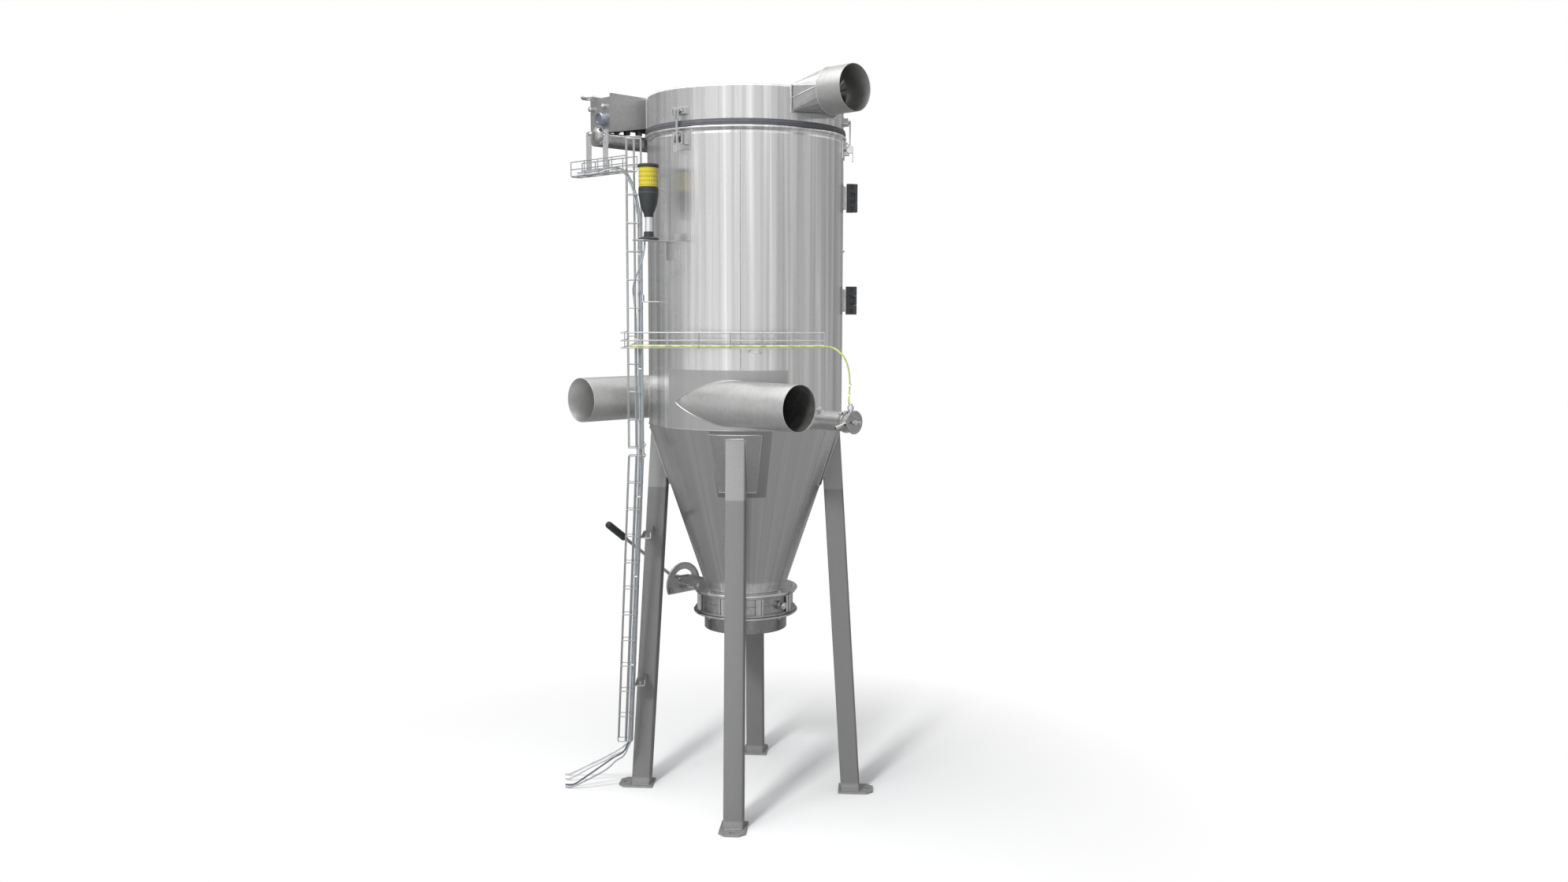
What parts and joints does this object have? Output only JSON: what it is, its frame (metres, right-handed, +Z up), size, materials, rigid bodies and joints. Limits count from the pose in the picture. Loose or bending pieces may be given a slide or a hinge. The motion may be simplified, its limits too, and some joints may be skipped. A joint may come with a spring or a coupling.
{
  "type": "dust collector",
  "caption": "Free-standing pulse-jet dust collector with clamped head, tangential inlets, radial outlet, hopper with lever-operated butterfly valve, service door, beacon and cable trays.",
  "frame": {"origin": "middle of the footprint's bounding box on the floor, the loose leads left out", "axes": "+Z up; the front leg points to -Y, the right leg to +X; the outlet points between +X and -Y; the cable trays are on the -X side"},
  "size_m": [1.2154, 1.1216, 2.6607],
  "materials": {
    "brushed_steel": "vertically brushed stainless",
    "duct_steel": "satin bead-blasted stainless",
    "leg_steel": "mid-grey matt coated tube",
    "zinc_wire": "bright galvanised welded wire",
    "black_plastic": "anthracite polyamide",
    "gasket_rubber": "dark slate seal",
    "amber_lens": "yellow ribbed lens",
    "aluminium": "natural",
    "filter_fleece": "polyester needle felt",
    "grey_cable": "grey PVC sheath",
    "earth_cable": "green and yellow sheath"
  },
  "bodies": {
    "vessel": {"air_tank": "duct_steel", "beacon_base": "black_plastic", "beacon_bracket": "brushed_steel", "beacon_cable": "grey_cable", "beacon_cap": "black_plastic", "beacon_lens": "amber_lens", "beacon_stand": "aluminium", "blow_pipe": "brushed_steel", "cleaning_housing": "duct_steel", "cone_flange": "brushed_steel", "discharge_spigot": "brushed_steel", "filter_body": "brushed_steel", "filter_cartridge": "filter_fleece", "foot_back": "leg_steel", "foot_front": "leg_steel", "foot_left": "leg_steel", "foot_right": "leg_steel", "front_inlet": "duct_steel", "head_gasket": "gasket_rubber", "head_shell": "brushed_steel", "hopper_cone": "brushed_steel", "lead_1": "grey_cable", "lead_2": "grey_cable", "lead_3": "black_plastic", "lead_4": "grey_cable", "left_inlet": "duct_steel", "leg_back": "leg_steel", "leg_front": "leg_steel", "leg_left": "leg_steel", "leg_right": "leg_steel", "leg_tray": "zinc_wire", "lock_quadrant": "duct_steel", "lower_hinge_base": "black_plastic", "middle_tray": "zinc_wire", "outlet_transition": "duct_steel", "outlet_tube": "duct_steel", "riser_cables": "grey_cable", "sensor_cables": "earth_cable", "sensor_stub": "duct_steel", "side_tray": "zinc_wire", "tube_sheet": "brushed_steel", "upper_hinge_base": "black_plastic", "upper_tray": "zinc_wire", "valve_lower_half": "duct_steel", "valve_upper_half": "duct_steel"},
    "butterfly": {"valve_disc": "duct_steel", "valve_shaft": "brushed_steel", "valve_lever": "brushed_steel", "lever_grip": "black_plastic"},
    "door": {"service_door": "brushed_steel", "door_handle": "black_plastic", "upper_hinge_leaf": "black_plastic", "lower_hinge_leaf": "black_plastic"},
    "sensor_cap": {"sensor_cover": "duct_steel"},
    "clamp_front_lever": {"clamp_lever_front": "brushed_steel"},
    "clamp_front_hook": {"clamp_hook_front": "brushed_steel"},
    "clamp_right_lever": {"clamp_lever_right": "brushed_steel"},
    "clamp_right_hook": {"clamp_hook_right": "brushed_steel"},
    "clamp_back_lever": {"clamp_lever_back": "brushed_steel"},
    "clamp_back_hook": {"clamp_hook_back": "brushed_steel"}
  },
  "joints": [
    {"name": "butterfly_turn", "type": "hinge", "parent": "vessel", "child": "butterfly", "pos_m": [0.07131, 0.0708, 0.74385], "axis": [-0.7604, 0.6494, 0], "range_deg": [0, 90]},
    {"name": "door_swing", "type": "hinge", "parent": "vessel", "child": "door", "pos_m": [0.47578, 0.12046, 2.0225], "axis": [0, 0, -1], "range_deg": [0, 110]},
    {"name": "sensor_cap_turn", "type": "hinge", "parent": "vessel", "child": "sensor_cap", "pos_m": [0.48878, -0.28575, 1.445], "axis": [0.7604, -0.6494, 0], "range_deg": [0, 90]},
    {"name": "clamp_front_throw", "type": "hinge", "parent": "vessel", "child": "clamp_front_lever", "pos_m": [-0.12794, -0.24807, 2.428], "axis": [-0.848, 0.5299, 0], "range_deg": [0, 100]},
    {"name": "clamp_front_hook_swing", "type": "hinge", "parent": "clamp_front_lever", "child": "clamp_front_hook", "pos_m": [-0.12794, -0.24807, 2.412], "axis": [-0.848, 0.5299, 0], "range_deg": [-100, 0]},
    {"name": "clamp_right_throw", "type": "hinge", "parent": "vessel", "child": "clamp_right_lever", "pos_m": [0.44708, 0.05768, 2.428], "axis": [-0.0349, -0.9994, 0], "range_deg": [0, 100]},
    {"name": "clamp_right_hook_swing", "type": "hinge", "parent": "clamp_right_lever", "child": "clamp_right_hook", "pos_m": [0.44708, 0.05768, 2.412], "axis": [-0.0349, -0.9994, 0], "range_deg": [-100, 0]},
    {"name": "clamp_back_throw", "type": "hinge", "parent": "vessel", "child": "clamp_back_lever", "pos_m": [-0.10521, 0.40279, 2.428], "axis": [0.8829, 0.4695, 0], "range_deg": [0, 100]},
    {"name": "clamp_back_hook_swing", "type": "hinge", "parent": "clamp_back_lever", "child": "clamp_back_hook", "pos_m": [-0.10521, 0.40279, 2.412], "axis": [0.8829, 0.4695, 0], "range_deg": [-100, 0]}
  ],
  "couplings": [
    {"joint": "clamp_front_hook_swing", "follows": "clamp_front_throw", "ratio": -1},
    {"joint": "clamp_right_hook_swing", "follows": "clamp_right_throw", "ratio": -1},
    {"joint": "clamp_back_hook_swing", "follows": "clamp_back_throw", "ratio": -1}
  ]
}
